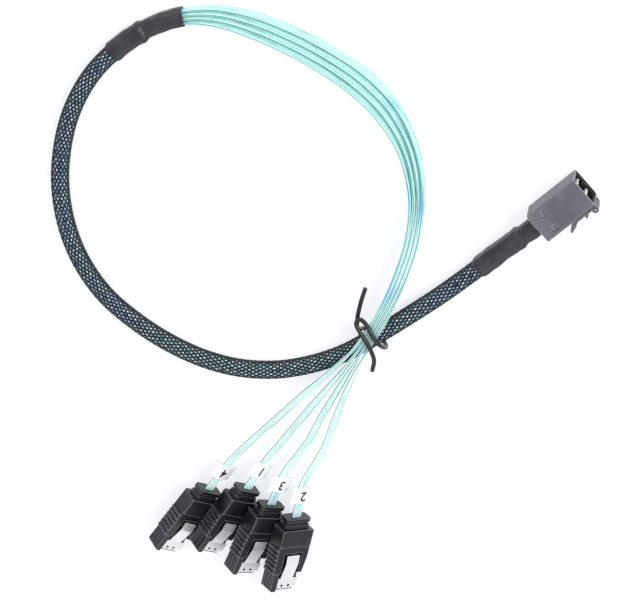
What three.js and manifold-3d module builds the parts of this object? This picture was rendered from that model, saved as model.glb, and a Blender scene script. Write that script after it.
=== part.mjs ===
// A breakout data cable: one wide host plug, a braided trunk, and four flat
// cables that end in drive plugs with spring latches. It lies on the plane z = 0.
// Units are millimetres and +Z is up. +X is the way the host plug is pushed in.
import * as THREE from 'three';
import { mergeVertices } from 'three/addons/utils/BufferGeometryUtils.js';
import Module from 'manifold-3d';

const wasm = await Module();
wasm.setup();

// Clearance between pieces that touch, and the overshoot of a cutting body
const gap = 0.3;
const past = 1;

// Host plug: its own x is 0 at the mouth and negative towards the cable. Its
// rear stays where the boot is, and its length grows forwards.
const hostRearX = 77;
const hostMiddleY = -24.1;
const hostLength = 20;
const hostWidth = 11.2;
const hostHeight = 13;
const hostWall = 0.9;
const hostCorner = 1.0;
const hostMouthX = hostRearX + hostLength;
const mouthLeadIn = 0.5;
const keyRibWidth = 1.2;
const keyRibHeight = 0.5;
const keyRibLength = 6;

// Rear cap of the host plug: a flange with two tongues that snap into windows
const capFlange = 1.2;
const capTongueLength = 5.6;
const capTongueThickness = 0.6;
const windowSize = 2.4;
const windowPitch = 6.1;
const windowFromRear = 4.7;
const snapRise = 0.55;

// Two contact cards and the block that carries them
const cardThickness = 1.0;
const cardRecess = 1.0;
const cardFromRear = 5;
const cardPitch = 4.5;
const cardShift = 0.35;
const cardBevel = 0.3;
const carrierLength = 4.5;
const carrierBridge = 0.6;
const carrierClearance = 0.7;

// Hinged lever on the host plug's side, and the pin that it turns on
const leverPinRadius = 0.45;
const leverPinFromMouth = 1.4;
const leverBarrelRadius = 1.2;
const leverHeight = 6.4;
const leverSheet = 0.6;
const leverStandOff = 0.8;
const leverStripLength = 7.4;
const leverTabLength = 4.0;
const leverTabFlare = 1.5;
const leverTabHeight = 8.4;
const leverTabSheet = 0.8;
const barbRise = 1.7;
const barbLength = 2.4;
const barbHeight = 2.6;
const earThickness = 1.0;

// Flat twin cables, and the stack of four in the trunk
const ribbonWidth = 3.7;
const ribbonThickness = 0.95;
const ribbonCorner = 0.3;
const cardTail = 2.2;

// Braided sleeve, round the stack on edge
const sleeveWidth = 6.2;
const sleeveHeight = 5.5;
const sleeveWall = 0.45;
const sleeveCorner = 1.3;

// Heat-shrink boots: half width at the plug, at the step and over the sleeve
const bootInnerHalf = 2.8;
const bootFlatness = 0.92;
const hostBootNeckRear = 3.6;
const hostBootNeckFront = 3.25;
const hostBootBody = 3.55;
const hostBootNeckLength = 7;
const hostBootRamp = 2.4;
const hostBootLength = 27;
const breakBootBody = 3.65;
const breakBootNeck = 3.1;
const breakBootBodyLength = 12;
const breakBootRamp = 2.6;
const breakBootLength = 28;
const breakBootStation = 21;
const breakBootOverlap = 2;
const shrinkLip = 0.35;
const bootSteps = 11;
const bootSides = 20;

// Drive plug: x is 0 at the rear face of its hood and grows towards the nose
const hoodLength = 17;
const hoodWidth = 13.4;
const hoodThickness = 6.6;
const hoodEdge = 0.45;
const hoodStepX = 6.5;
const hoodStep = 0.35;
const forkX = 9.2;
const forkLeftArm = 3.0;
const forkRightArm = 2.6;
const armTaperLength = 6.5;
const armTaper = 1.0;
const forkFloor = 1.6;
const gripRibs = 6;
const gripRibPitch = 1.75;
const gripRibWidth = 0.85;
const gripRibHeight = 0.45;
const sideSlotX = 3.6;
const sideSlotLength = 3.9;
const sideSlotWidth = 0.6;
const sideSlotFromEdge = 0.9;
const sideSlotDepth = 0.8;

// Nose of the drive plug, with its L-shaped slot and seven contacts
const noseLength = 6.7;
const noseWidth = 10.5;
const noseShift = -0.65;
const noseThickness = 5.9;
const noseTopCut = 1.2;
const noseRail = 2.2;
const noseTail = 6;
const noseTailInset = 0.9;
const noseTailThickness = 2.7;
const noseTailRise = 0.9;
const noseChamfer = 0.5;
const noseRidgeDepth = 0.5;
const noseRidgeWidth = 0.7;
const slotWidth = 8.9;
const slotHeight = 1.4;
const slotDepth = 5.2;
const slotLegWidth = 1.2;
const slotLegHeight = 1.2;
const slotBelowAxis = 0.2;
const contactCount = 7;
const contactPitch = 1.15;
const contactWidth = 0.5;
const contactRise = 0.25;
const contactLength = 4.2;

// Folded steel latch on the drive plug
const latchSheet = 0.3;
const latchPlateLength = 3.8;
const latchPlateWidth = 6.8;
const latchRampLength = 6.2;
const latchRampRise = 1.2;
const latchPadLength = 3.2;
const latchPadDip = 0.24;
const latchPadWidth = 5.2;
const latchHook = 0.7;
const latchHookFromTip = 0.9;
const latchHoleSize = 0.9;
const latchHolePitch = 2.8;
const latchFlangeDrop = 1.9;
const latchRelief = 0.4;

// Strain relief collar behind each hood, and the folded label on each cable
const collarWidth = 10;
const collarThickness = 5;
const collarLength = 3.7;
const collarCorner = 1.1;
const collarGroove = 0.6;
const collarGrooveWidth = 1.1;
const labelWidth = 7.5;
const labelLength = 5.3;
const labelFilm = 0.3;
const labelBehindHood = 12.3;

// The twist tie's wire
const tieRadius = 0.75;
const tieSides = 8;
const tieSteps = 64;

// Where the four drive plugs lie: rear of the hood on its axis, and heading.
// Slot counts the flat cables in the stack from the inside of the loop.
const plugRoll = -42;
const drivePlugs = [
  { number: 4, slot: 0, x: -77.2, y: -26.4, heading: -167.3 },
  { number: 1, slot: 1, x: -66.4, y: -34.8, heading: -164.0 },
  { number: 3, slot: 2, x: -63.7, y: -45.0, heading: -154.5 },
  { number: 2, slot: 3, x: -59.6, y: -54.6, heading: -144.5 },
];

// Route of the trunk, chosen by hand: x, y, height of the centre, spacing of
// the four flat cables and their roll. A roll of -90 stands them on edge.
const trunkRoute = [
  [77.6, -24.1, 6.5, 1.25, -90],
  [71.0, -23.9, 6.3, 1.25, -90],
  [60.0, -23.7, 4.9, 1.25, -90],
  [48.0, -23.6, 4.1, 1.25, -90],
  [35.0, -23.0, 4.1, 1.25, -90],
  [22.0, -21.7, 4.5, 1.25, -90],
  [9.0, -20.1, 4.85, 1.25, -90],
  [-4.0, -18.0, 4.7, 1.25, -90],
  [-16.0, -14.0, 3.8, 1.25, -90],
  [-27.0, -8.0, 3.1, 1.25, -90],
  [-36.5, 0.5, 2.85, 1.25, -90],
  [-43.9, 11.0, 2.85, 1.25, -90],
  [-49.3, 23.0, 2.85, 1.25, -90],
  [-52.9, 36.0, 2.85, 1.25, -90],
  [-54.5, 49.5, 2.85, 1.25, -90],
  [-52.7, 63.0, 2.85, 1.25, -90],
  [-47.8, 75.6, 2.85, 1.25, -90],
  [-40.0, 87.2, 2.85, 1.25, -90],
  [-30.0, 96.8, 2.85, 1.25, -90],
  [-18.5, 104.2, 2.95, 1.25, -90],
  [-5.5, 108.8, 3.25, 1.25, -90],
  [7.5, 110.0, 3.5, 1.25, -90],
  [20.0, 108.6, 3.6, 1.25, -90],
  [31.0, 104.6, 3.6, 1.3, -90],
  [40.5, 97.2, 3.3, 1.8, -82],
  [48.0, 87.0, 3.0, 2.2, -74],
  [54.2, 75.0, 3.0, 2.4, -70],
  [59.2, 62.2, 3.1, 2.5, -70],
  [62.6, 48.8, 3.5, 2.6, -70],
  [63.2, 35.2, 4.3, 2.4, -74],
  [59.8, 21.6, 5.3, 1.9, -80],
  [52.2, 9.0, 6.7, 1.5, -86],
  [41.6, -1.2, 8.1, 1.35, -90],
  [29.2, -9.0, 9.3, 1.3, -90],
  [16.4, -15.0, 9.8, 1.25, -90],
  [4.0, -19.2, 9.8, 1.25, -90],
];

// Each flat cable's own way from the tie to its plug: x, y, z and roll
const legRoutes = {
  4: [[-9.0, -18.9, 9.6, -78], [-23.0, -19.6, 8.8, -62], [-39.0, -20.8, 7.7, -50], [-51.0, -21.6, 7.1, -44]],
  1: [[-9.5, -21.9, 9.2, -78], [-23.5, -24.6, 8.3, -62], [-36.5, -27.4, 7.4, -50]],
  3: [[-9.5, -24.4, 8.9, -78], [-22.5, -29.2, 8.0, -62], [-35.0, -34.2, 7.2, -50]],
  2: [[-9.0, -26.8, 8.7, -78], [-21.0, -33.4, 7.8, -62], [-32.5, -39.8, 7.1, -50]],
};
const legStraight = [17.5, 8];
const ribbonInHood = 1.7;

// The tie's wire: down the inner side, under the sleeve, over the bundle,
// round its own end and back over the bundle to the outer side
const tieRoute = [
  [18.2, -4.2, 8.2], [13.4, -7.2, 9.4], [9.0, -10.6, 9.4], [6.4, -13.4, 8.0], [5.7, -14.9, 4.8],
  [5.9, -16.2, 1.5], [6.9, -19.8, 0.85], [8.0, -23.4, 1.4], [8.7, -25.0, 4.6], [9.1, -23.9, 9.2],
  [9.6, -21.0, 12.4], [10.1, -17.4, 12.9], [10.9, -13.6, 12.3], [10.4, -10.9, 11.8], [8.5, -11.0, 11.9],
  [7.6, -14.0, 12.5], [7.0, -18.0, 13.0], [6.0, -21.8, 12.8], [4.2, -25.0, 11.6], [0.9, -27.6, 10.6],
];

// The whole cable is moved by this much, which puts the origin under its middle
const layoutShift = [2.5, -20.8];

// Colours
const finish = {
  shell: new THREE.MeshStandardMaterial({ color: '#4b4b52', roughness: 0.5 }),
  black: new THREE.MeshStandardMaterial({ color: '#1d1c20', roughness: 0.45 }),
  card: new THREE.MeshStandardMaterial({ color: '#e6e0c4', roughness: 0.4 }),
  steel: new THREE.MeshStandardMaterial({ color: '#c6c8cc', roughness: 0.25, metalness: 1 }),
  shrink: new THREE.MeshStandardMaterial({ color: '#232228', roughness: 0.6 }),
  braid: new THREE.MeshStandardMaterial({ color: '#1f3040', roughness: 0.55 }),
  ribbon: new THREE.MeshStandardMaterial({ color: '#8fe0e0', roughness: 0.25 }),
  film: new THREE.MeshStandardMaterial({ color: '#f4f4f2', roughness: 0.5 }),
};

const cable = new THREE.Group();

function asSolid(geometry) {
  const bare = geometry.index ? geometry.toNonIndexed() : geometry.clone();
  bare.deleteAttribute('normal');
  bare.deleteAttribute('uv');
  const merged = mergeVertices(bare, 1e-4);
  return new wasm.Manifold(new wasm.Mesh({
    numProp: 3,
    vertProperties: new Float32Array(merged.attributes.position.array),
    triVerts: new Uint32Array(merged.index.array),
  }));
}

function asGeometry(manifold) {
  const mesh = manifold.getMesh();
  const geometry = new THREE.BufferGeometry();
  geometry.setAttribute('position', new THREE.BufferAttribute(new Float32Array(mesh.vertProperties), 3));
  geometry.setIndex(Array.from(mesh.triVerts));
  geometry.computeVertexNormals();
  return geometry;
}

function addPiece(parent, name, shape, material) {
  const geometry = shape.isBufferGeometry ? shape : asGeometry(shape);
  const mesh = new THREE.Mesh(geometry, material);
  mesh.name = name;
  parent.add(mesh);
  return mesh;
}

function block(x0, x1, y0, y1, z0, z1) {
  const geometry = new THREE.BoxGeometry(x1 - x0, y1 - y0, z1 - z0);
  geometry.translate((x0 + x1) / 2, (y0 + y1) / 2, (z0 + z1) / 2);
  return asSolid(geometry);
}

function outline(points) {
  return new THREE.Shape(points.map(([x, y]) => new THREE.Vector2(x, y)));
}

// A rectangle about the origin, its corners cut off or rounded
function roundedOutline(width, height, corner, segments) {
  const points = [];
  const arms = [[1, 1, 0], [-1, 1, 90], [-1, -1, 180], [1, -1, 270]];
  for (const [sx, sy, start] of arms) {
    for (let k = 0; k <= segments; k += 1) {
      const angle = THREE.MathUtils.degToRad(start + (90 * k) / segments);
      const x = sx * (width / 2 - corner) + corner * Math.cos(angle);
      const y = sy * (height / 2 - corner) + corner * Math.sin(angle);
      points.push([x, y]);
    }
  }
  return outline(points);
}

// The sheet-metal outline of a folded line: the line and its offset to the left
function foldedOutline(line, thickness) {
  const offset = line.map((point, i) => {
    const before = line[Math.max(i - 1, 0)];
    const after = line[Math.min(i + 1, line.length - 1)];
    const a = new THREE.Vector2(point[0] - before[0], point[1] - before[1]).normalize();
    const b = new THREE.Vector2(after[0] - point[0], after[1] - point[1]).normalize();
    const first = i === 0 ? b : a;
    const last = i === line.length - 1 ? a : b;
    const middle = first.clone().add(last).normalize();
    const stretch = thickness / middle.dot(first);
    return [point[0] - middle.y * stretch, point[1] + middle.x * stretch];
  });
  return outline([...line, ...offset.reverse()]);
}

// Shape x, y and depth become y, z and x
function alongX(shape, x0, x1) {
  const geometry = new THREE.ExtrudeGeometry(shape, { depth: x1 - x0, bevelEnabled: false });
  const turn = new THREE.Matrix4().makeBasis(
    new THREE.Vector3(0, 1, 0),
    new THREE.Vector3(0, 0, 1),
    new THREE.Vector3(1, 0, 0),
  );
  geometry.applyMatrix4(turn);
  geometry.translate(x0, 0, 0);
  return asSolid(geometry);
}

// Shape x and y become x and z, and the depth runs along y
function alongY(shape, y0, y1) {
  const geometry = new THREE.ExtrudeGeometry(shape, { depth: y1 - y0, bevelEnabled: false });
  geometry.rotateX(Math.PI / 2);
  geometry.translate(0, y1, 0);
  return asSolid(geometry);
}

function alongZ(shape, z0, z1) {
  const geometry = new THREE.ExtrudeGeometry(shape, { depth: z1 - z0, bevelEnabled: false });
  geometry.translate(0, 0, z0);
  return asSolid(geometry);
}

function uprightRod(x, y, radius, z0, z1, sides) {
  const geometry = new THREE.CylinderGeometry(radius, radius, z1 - z0, sides);
  geometry.rotateX(Math.PI / 2);
  geometry.translate(x, y, (z0 + z1) / 2);
  return asSolid(geometry);
}

// A curve through points that also says how a flat section is rolled about it.
// A roll of 0 lays the section's width level, and -90 stands it on edge.
class RolledCurve extends THREE.CatmullRomCurve3 {
  constructor(points, rolls) {
    super(points, false, 'catmullrom', 0.5);
    this.rolls = rolls;
  }

  getSpacedPoints(divisions) {
    return this.getPoints(divisions);
  }

  frameAt(t) {
    const place = t * (this.rolls.length - 1);
    const i = Math.min(Math.floor(place), this.rolls.length - 2);
    const roll = THREE.MathUtils.degToRad(THREE.MathUtils.lerp(this.rolls[i], this.rolls[i + 1], place - i));
    const tangent = this.getTangent(t);
    const side = new THREE.Vector3(-tangent.y, tangent.x, 0).normalize();
    const lift = new THREE.Vector3().crossVectors(tangent, side);
    const width = side.clone().multiplyScalar(Math.cos(roll)).addScaledVector(lift, Math.sin(roll));
    const normal = new THREE.Vector3().crossVectors(tangent, width);
    return { point: this.getPoint(t), tangent, side, width, normal };
  }

  computeFrenetFrames(segments) {
    const frames = { tangents: [], normals: [], binormals: [] };
    for (let k = 0; k <= segments; k += 1) {
      const frame = this.frameAt(k / segments);
      frames.tangents.push(frame.tangent);
      frames.normals.push(frame.width);
      frames.binormals.push(frame.normal);
    }
    return frames;
  }
}

// A stretch of another curve, between two of its parameters
class Stretch extends THREE.Curve {
  constructor(whole, from, to) {
    super();
    this.whole = whole;
    this.from = from;
    this.to = to;
  }

  getPoint(t) {
    return this.whole.getPoint(THREE.MathUtils.lerp(this.from, this.to, t));
  }

  getSpacedPoints(divisions) {
    return this.getPoints(divisions);
  }

  frameAt(t) {
    return this.whole.frameAt(THREE.MathUtils.lerp(this.from, this.to, t));
  }

  computeFrenetFrames(segments) {
    return RolledCurve.prototype.computeFrenetFrames.call(this, segments);
  }
}

function sweep(shape, curve, steps) {
  return new THREE.ExtrudeGeometry(shape, { steps, bevelEnabled: false, extrudePath: curve });
}

const trunk = new RolledCurve(
  trunkRoute.map(([x, y, z]) => new THREE.Vector3(x, y, z)),
  trunkRoute.map((station) => station[4]),
);

// The trunk's parameter at a distance along it from its start
function trunkParameter(distance) {
  const samples = 1200;
  let run = 0;
  let last = trunk.getPoint(0);
  for (let k = 1; k <= samples; k += 1) {
    const next = trunk.getPoint(k / samples);
    const step = next.distanceTo(last);
    if (run + step >= distance) return (k - 1 + (distance - run) / step) / samples;
    run += step;
    last = next;
  }
  return 1;
}

function buildHostShell() {
  const rear = -hostLength + capFlange + gap;
  const body = alongX(roundedOutline(hostWidth, hostHeight, hostCorner, 3), rear, 0);
  const inside = roundedOutline(hostWidth - 2 * hostWall, hostHeight - 2 * hostWall, hostCorner / 2, 1);
  let shell = body.subtract(alongX(inside, rear - past, past));
  const lead = roundedOutline(
    hostWidth - 2 * hostWall + mouthLeadIn,
    hostHeight - 2 * hostWall + mouthLeadIn,
    hostCorner / 2,
    1,
  );
  shell = shell.subtract(alongX(lead, -mouthLeadIn, past));
  const windowX = -hostLength + windowFromRear;
  for (const side of [-1, 1]) {
    const y = (side * windowPitch) / 2;
    const half = windowSize / 2;
    shell = shell.subtract(block(windowX - half, windowX + half, y - half, y + half, -hostHeight, hostHeight));
  }
  const floor = -hostHeight / 2 + hostWall;
  shell = shell.add(block(
    -keyRibLength - mouthLeadIn,
    -mouthLeadIn,
    -keyRibWidth / 2 + cardShift,
    keyRibWidth / 2 + cardShift,
    floor - hostWall / 2,
    floor + keyRibHeight,
  ));
  for (const side of [-1, 1]) {
    const near = leverHeight / 2 + gap;
    const z0 = side > 0 ? near : -near - earThickness;
    shell = shell.add(hingeEar(z0));
  }
  return shell;
}

const leverAxisX = -leverPinFromMouth;
const leverAxisY = -hostWidth / 2 - gap - leverBarrelRadius;

function hingeEar(z0) {
  const z1 = z0 + earThickness;
  const wallY = -hostWidth / 2 + hostWall / 2;
  const foot = block(
    leverAxisX - leverBarrelRadius,
    leverAxisX + leverBarrelRadius,
    leverAxisY,
    wallY,
    z0,
    z1,
  );
  const round = uprightRod(leverAxisX, leverAxisY, leverBarrelRadius, z0, z1, 16);
  const bore = uprightRod(leverAxisX, leverAxisY, leverPinRadius + gap, z0 - past, z1 + past, 12);
  return foot.add(round).subtract(bore);
}

function buildLever() {
  const barrel = uprightRod(leverAxisX, leverAxisY, leverBarrelRadius, -leverHeight / 2, leverHeight / 2, 16);
  const inner = -hostWidth / 2 - leverStandOff;
  const stripEnd = leverAxisX - leverStripLength;
  const tabEnd = stripEnd - leverTabLength;
  const strip = alongZ(foldedOutline([
    [leverAxisX, inner],
    [stripEnd, inner],
    [tabEnd, inner - leverTabFlare],
  ].reverse(), -leverSheet), -leverHeight / 2, leverHeight / 2);
  const outer = inner - leverSheet;
  const barb = alongZ(outline([
    [leverAxisX - leverStripLength / 2 + barbLength / 2, outer + leverSheet / 2],
    [leverAxisX - leverStripLength / 2 + barbLength / 2, outer],
    [leverAxisX - leverStripLength / 2 - barbLength / 2, outer - barbRise],
    [leverAxisX - leverStripLength / 2 - barbLength / 2, outer + leverSheet / 2],
  ]), -barbHeight / 2, barbHeight / 2);
  const tab = alongZ(foldedOutline([
    [stripEnd - leverTabLength / 3, inner - leverTabFlare / 3],
    [tabEnd, inner - leverTabFlare],
  ].reverse(), -leverTabSheet), -leverTabHeight / 2, leverTabHeight / 2);
  const bore = uprightRod(leverAxisX, leverAxisY, leverPinRadius + gap, -leverHeight, leverHeight, 12);
  return barrel.add(strip).add(barb).add(tab).subtract(bore);
}

function buildLeverPin() {
  const half = leverHeight / 2 + gap + earThickness;
  return uprightRod(leverAxisX, leverAxisY, leverPinRadius, -half, half, 12);
}

function buildRearCap() {
  const rear = -hostLength;
  const flangeFront = rear + capFlange;
  let cap = alongX(roundedOutline(hostWidth, hostHeight, hostCorner, 3), rear, flangeFront);
  const tongueEnd = flangeFront + capTongueLength;
  for (const side of [-1, 1]) {
    const face = (side * insideHeight) / 2;
    const back = face - side * capTongueThickness;
    const z0 = Math.min(face, back);
    const z1 = Math.max(face, back);
    const corner = hostCorner / 2;
    const half = insideWidth / 2 - corner;
    cap = cap.add(block(flangeFront - capFlange / 2, tongueEnd, -half, half, z0, z1));
    for (const across of [-1, 1]) {
      cap = cap.add(snapTab(across, side, face));
    }
  }
  const passage = hostBootNeckRear * 2 + 2 * gap;
  const bore = roundedOutline(passage, passage * bootFlatness, passage / 4, 3);
  return cap.subtract(alongX(bore, rear - past, flangeFront + past));
}

// A wedge that slides in under the wall and springs up in its window
function snapTab(across, side, face) {
  const half = windowSize / 2 - gap;
  const x = -hostLength + windowFromRear;
  const y = (across * windowPitch) / 2;
  const wedge = outline([
    [x - half, face - side * (capTongueThickness / 2)],
    [x + half, face - side * (capTongueThickness / 2)],
    [x + half, face + side * gap],
    [x - half, face + side * (gap + snapRise)],
  ]);
  return alongY(wedge, y - half, y + half);
}

const insideWidth = hostWidth - 2 * hostWall - 2 * gap;
const insideHeight = hostHeight - 2 * hostWall - 2 * gap;
const cardHeight = insideHeight - 2 * gap - 2 * carrierBridge;

// The carrier stands a little in front of the ends of the cap's tongues
function buildCardCarrier() {
  const rear = -hostLength + capFlange + capTongueLength + carrierClearance;
  const front = rear + carrierLength;
  let carrier = alongX(roundedOutline(insideWidth, insideHeight, hostCorner / 2, 1), rear, front);
  for (const side of [-1, 1]) {
    const y = cardShift + (side * cardPitch) / 2;
    const half = cardThickness / 2 + gap;
    const reach = cardHeight / 2 + gap;
    carrier = carrier.subtract(block(rear - past, front + past, y - half, y + half, -reach, reach));
  }
  return carrier;
}

function buildCard(side) {
  const y = cardShift + (side * cardPitch) / 2;
  const front = -cardRecess;
  const rear = -hostLength + cardFromRear;
  const half = cardThickness / 2;
  return alongZ(outline([
    [rear, y - half],
    [front - cardBevel, y - half],
    [front, y - half + cardBevel],
    [front, y + half - cardBevel],
    [front - cardBevel, y + half],
    [rear, y + half],
  ]), -cardHeight / 2, cardHeight / 2);
}

function buildHostPlug() {
  const plug = new THREE.Group();
  plug.position.set(hostMouthX, hostMiddleY, hostHeight / 2);
  addPiece(plug, 'host_plug_shell', buildHostShell(), finish.shell);
  addPiece(plug, 'host_rear_cap', buildRearCap(), finish.shell);
  addPiece(plug, 'host_card_carrier', buildCardCarrier(), finish.black);
  addPiece(plug, 'contact_card_inner', buildCard(1), finish.card);
  addPiece(plug, 'contact_card_outer', buildCard(-1), finish.card);
  addPiece(plug, 'host_lever', buildLever(), finish.shell);
  addPiece(plug, 'host_lever_pin', buildLeverPin(), finish.steel);
  cable.add(plug);
}

// A shrink tube: a closed profile turned about its length, squared up a
// little, and bent along a stretch of the trunk that starts at a distance
function shrinkTube(profile, start) {
  const turned = new THREE.LatheGeometry(profile.map(([s, r]) => new THREE.Vector2(r, s)), bootSides);
  const position = turned.attributes.position;
  for (let i = 0; i < position.count; i += 1) {
    const x = position.getX(i);
    const z = position.getZ(i);
    const angle = Math.atan2(z, x);
    const square = (Math.cos(angle) ** 4 + Math.sin(angle) ** 4) ** -0.25;
    const frame = trunk.frameAt(trunkParameter(start + position.getY(i)));
    const point = frame.point.clone();
    point.addScaledVector(frame.normal, x * square);
    point.addScaledVector(frame.width, z * square * bootFlatness);
    position.setXYZ(i, point.x, point.y, point.z);
  }
  turned.deleteAttribute('normal');
  turned.deleteAttribute('uv');
  const closed = mergeVertices(turned, 1e-4);
  closed.computeVertexNormals();
  return closed;
}

function tubeProfile(outer, length, steps) {
  const profile = [];
  for (let k = 0; k <= steps; k += 1) {
    const s = (length * k) / steps;
    profile.push([s, outerAt(outer, s)]);
  }
  for (let k = steps; k >= 0; k -= 1) {
    profile.push([(length * k) / steps, bootInnerHalf]);
  }
  profile.push(profile[0]);
  return profile;
}

function outerAt(outer, s) {
  const next = outer.findIndex(([distance]) => distance >= s);
  if (next <= 0) return outer[Math.max(next, 0)][1];
  const [s0, r0] = outer[next - 1];
  const [s1, r1] = outer[next];
  return THREE.MathUtils.mapLinear(s, s0, s1, r0, r1);
}

const hostBootStart = 0;
const sleeveStart = hostBootStart + hostBootLength + gap;
const breakBootStart = distanceTo(breakBootStation / (trunkRoute.length - 1)) - breakBootOverlap;

function distanceTo(parameter) {
  const samples = 1200;
  let run = 0;
  let last = trunk.getPoint(0);
  for (let k = 1; k <= samples * parameter; k += 1) {
    const next = trunk.getPoint(k / samples);
    run += next.distanceTo(last);
    last = next;
  }
  return run;
}

function buildBoots() {
  const host = tubeProfile([
    [0, hostBootNeckRear],
    [hostBootNeckLength, hostBootNeckFront],
    [hostBootNeckLength + hostBootRamp, hostBootBody],
    [hostBootLength - 1, hostBootBody],
    [hostBootLength, hostBootBody - shrinkLip],
  ], hostBootLength, bootSteps);
  addPiece(cable, 'host_boot', shrinkTube(host, hostBootStart), finish.shrink);
  const breakout = tubeProfile([
    [0, breakBootBody - shrinkLip],
    [1, breakBootBody],
    [breakBootBodyLength, breakBootBody],
    [breakBootBodyLength + breakBootRamp, breakBootNeck],
    [breakBootLength, breakBootNeck],
  ], breakBootLength, bootSteps);
  addPiece(cable, 'breakout_boot', shrinkTube(breakout, breakBootStart), finish.shrink);
}

function buildSleeve() {
  const shape = roundedOutline(sleeveHeight, sleeveWidth, sleeveCorner, 2);
  const hole = roundedOutline(
    sleeveHeight - 2 * sleeveWall,
    sleeveWidth - 2 * sleeveWall,
    sleeveCorner - 2 * sleeveWall + ribbonCorner / 3,
    1,
  );
  shape.holes.push(new THREE.Path(hole.getPoints(1).reverse()));
  const from = trunkParameter(sleeveStart);
  const to = trunkParameter(breakBootStart - gap);
  const steps = Math.round((to - from) * (trunkRoute.length - 1) * 2.4);
  addPiece(cable, 'braided_sleeve', sweep(shape, new Stretch(trunk, from, to), steps), finish.braid);
}

// A drive plug's frame: x along its axis, y across and z out of its broad face
function plugGroup(spot) {
  const halfWidth = hoodWidth / 2;
  const halfThickness = hoodThickness / 2;
  const tilt = THREE.MathUtils.degToRad(-plugRoll);
  const roundOff = hoodEdge * (Math.sin(tilt) + Math.cos(tilt) - 1);
  const standing = halfWidth * Math.sin(tilt) + halfThickness * Math.cos(tilt) - roundOff;
  const group = new THREE.Group();
  group.position.set(spot.x, spot.y, standing);
  group.rotation.set(THREE.MathUtils.degToRad(plugRoll), 0, THREE.MathUtils.degToRad(spot.heading), 'ZYX');
  group.updateMatrixWorld(true);
  return group;
}

function buildRibbons(plugs) {
  const shape = roundedOutline(ribbonWidth, ribbonThickness, ribbonCorner, 1);
  for (const spot of drivePlugs) {
    const points = [];
    const rolls = [];
    const slot = spot.slot - 1.5;
    const side = spot.slot < 2 ? 1 : -1;
    const face = spot.slot % 2 === 0 ? 1 : -1;
    const cardFace = cardThickness / 2 + gap / 2 + ribbonThickness / 2;
    const tailY = hostMiddleY + cardShift + (side * cardPitch) / 2 + face * cardFace;
    const cardRear = hostRearX + cardFromRear;
    for (const x of [cardRear + cardTail, cardRear - gap]) {
      points.push(new THREE.Vector3(x, tailY, hostHeight / 2));
      rolls.push(-90);
    }
    trunkRoute.forEach((station, i) => {
      const frame = trunk.frameAt(i / (trunkRoute.length - 1));
      points.push(frame.point.addScaledVector(frame.side, slot * station[3]));
      rolls.push(station[4]);
    });
    for (const [x, y, z, roll] of legRoutes[spot.number]) {
      points.push(new THREE.Vector3(x, y, z));
      rolls.push(roll);
    }
    for (const x of [-legStraight[0], -legStraight[1], ribbonInHood]) {
      points.push(plugs[spot.number].localToWorld(new THREE.Vector3(x, 0, 0)));
      rolls.push(plugRoll);
    }
    const steps = (points.length - 1) * 2;
    addPiece(cable, `flat_cable_${spot.number}`, sweep(shape, new RolledCurve(points, rolls), steps), finish.ribbon);
  }
}

function buildHood() {
  const halfWidth = hoodWidth / 2;
  const halfThickness = hoodThickness / 2;
  const side = -halfWidth + gripRibHeight;
  const plan = outline([
    [0, side + hoodEdge],
    [hoodEdge, side],
    [hoodLength, side],
    [hoodLength, halfWidth - armTaper],
    [hoodLength - armTaperLength, halfWidth],
    [hoodEdge, halfWidth],
    [0, halfWidth - hoodEdge],
  ]);
  let hood = alongZ(plan, -halfThickness, halfThickness);
  const trimmed = roundedOutline(hoodWidth - gripRibHeight, hoodThickness, hoodEdge, 2);
  const envelope = alongX(trimmed, -past, hoodLength + past).translate([0, gripRibHeight / 2, 0]);
  hood = hood.intersect(envelope);
  for (let k = 0; k < gripRibs; k += 1) {
    const x1 = hoodLength - k * gripRibPitch;
    hood = hood.add(block(
      x1 - gripRibWidth,
      x1,
      -halfWidth,
      side + past / 2,
      -halfThickness + hoodEdge,
      halfThickness - hoodStep - hoodEdge / 2,
    ));
  }
  const stepped = halfThickness - hoodStep;
  hood = hood.subtract(block(hoodStepX, hoodLength + past, -hoodWidth, hoodWidth, stepped, hoodThickness));
  hood = hood.subtract(block(forkX, hoodLength + past, forkY0, forkY1, forkFloor, hoodThickness));
  const slotY1 = halfWidth - sideSlotFromEdge;
  hood = hood.subtract(block(
    sideSlotX,
    sideSlotX + sideSlotLength,
    slotY1 - sideSlotWidth,
    slotY1,
    halfThickness - hoodStep - sideSlotDepth,
    hoodThickness,
  ));
  const tailHalf = noseWidth / 2 - noseTailInset + gap;
  hood = hood.subtract(block(
    hoodLength - noseTail - gap,
    hoodLength + past,
    noseShift - tailHalf,
    noseShift + tailHalf,
    noseTailBottom - gap,
    noseTailBottom + noseTailThickness + gap,
  ));
  const entry = roundedOutline(ribbonWidth + 2 * gap, ribbonThickness + 2 * gap, ribbonCorner, 1);
  hood = hood.subtract(alongX(entry, -past, ribbonInHood + gap));
  return hood;
}

const noseBottom = -noseThickness / 2;
const noseTop = noseThickness / 2;
const noseTailBottom = noseBottom + noseTailRise;
const noseX0 = hoodLength + gap;
const noseX1 = noseX0 + noseLength;
const noseY0 = noseShift - noseWidth / 2;
const noseY1 = noseShift + noseWidth / 2;
const channelTop = noseTop - noseTopCut;

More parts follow.
